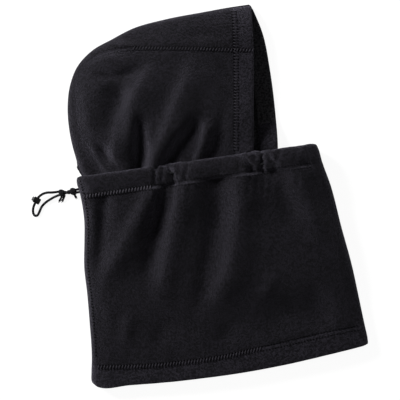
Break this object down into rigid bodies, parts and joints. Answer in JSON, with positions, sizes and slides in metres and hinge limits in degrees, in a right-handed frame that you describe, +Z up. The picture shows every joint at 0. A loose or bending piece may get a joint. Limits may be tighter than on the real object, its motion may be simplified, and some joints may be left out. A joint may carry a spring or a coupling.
{
  "type": "balaclava",
  "caption": "Fleece hood with an open face, sewn into a wide neck gaiter with a drawcord tunnel, cord lock and stitched hems, lying flat on its side.",
  "frame": {"origin": "on the table, under the middle of the hood and gaiter as they lie flat, without the cord", "axes": "+X out of the face opening, +Y towards the crown, +Z up from the table, through the garment's right side"},
  "size_m": [0.3774, 0.4344, 0.0323],
  "materials": {
    "fleece": "soft pile, charcoal black",
    "thread": "dull spun thread",
    "cord": "braided elastic",
    "lock_body": "satin",
    "lock_button": "satin",
    "spring_wire": "bright"
  },
  "bodies": {
    "garment": {"hood_panel_right": "fleece", "hood_panel_left": "fleece", "crown_strip": "fleece", "face_hem": "fleece", "gaiter_body": "fleece", "drawcord_tunnel": "fleece", "bottom_hem": "fleece", "crown_seam_right": "thread", "crown_seam_left": "thread", "face_hem_stitching": "thread", "tunnel_stitching": "thread", "bottom_hem_stitching": "thread", "neck_seam": "thread", "gaiter_back_seam": "thread", "buttonhole_stitching": "thread", "drawcord_ring": "cord"},
    "drawcord": {"drawcord_strands": "cord", "drawcord_pair": "cord", "drawcord_loop": "cord", "drawcord_ends": "cord", "inner_knot": "cord", "outer_knot": "cord"},
    "cord_lock": {"cord_lock_body": "lock_body", "cord_lock_spring": "spring_wire"},
    "lock_button": {"cord_lock_plunger": "lock_button"}
  },
  "joints": [
    {"name": "drawcord_pull", "type": "slide", "parent": "garment", "child": "drawcord", "axis": [-1, 0, 0], "range_m": [0, 0.06]},
    {"name": "cord_lock_slide", "type": "hinge", "parent": "drawcord", "child": "cord_lock", "pos_m": [-0.1887, 0.0108, 0.00375], "axis": [0, 0, -1], "range_deg": [0, 58]},
    {"name": "button_press", "type": "slide", "parent": "cord_lock", "child": "lock_button", "axis": [0.8192, -0.5736, 0], "range_m": [0, 0.0012], "stiffness_N_per_m": 600, "deforming": ["cord_lock_spring"]}
  ]
}
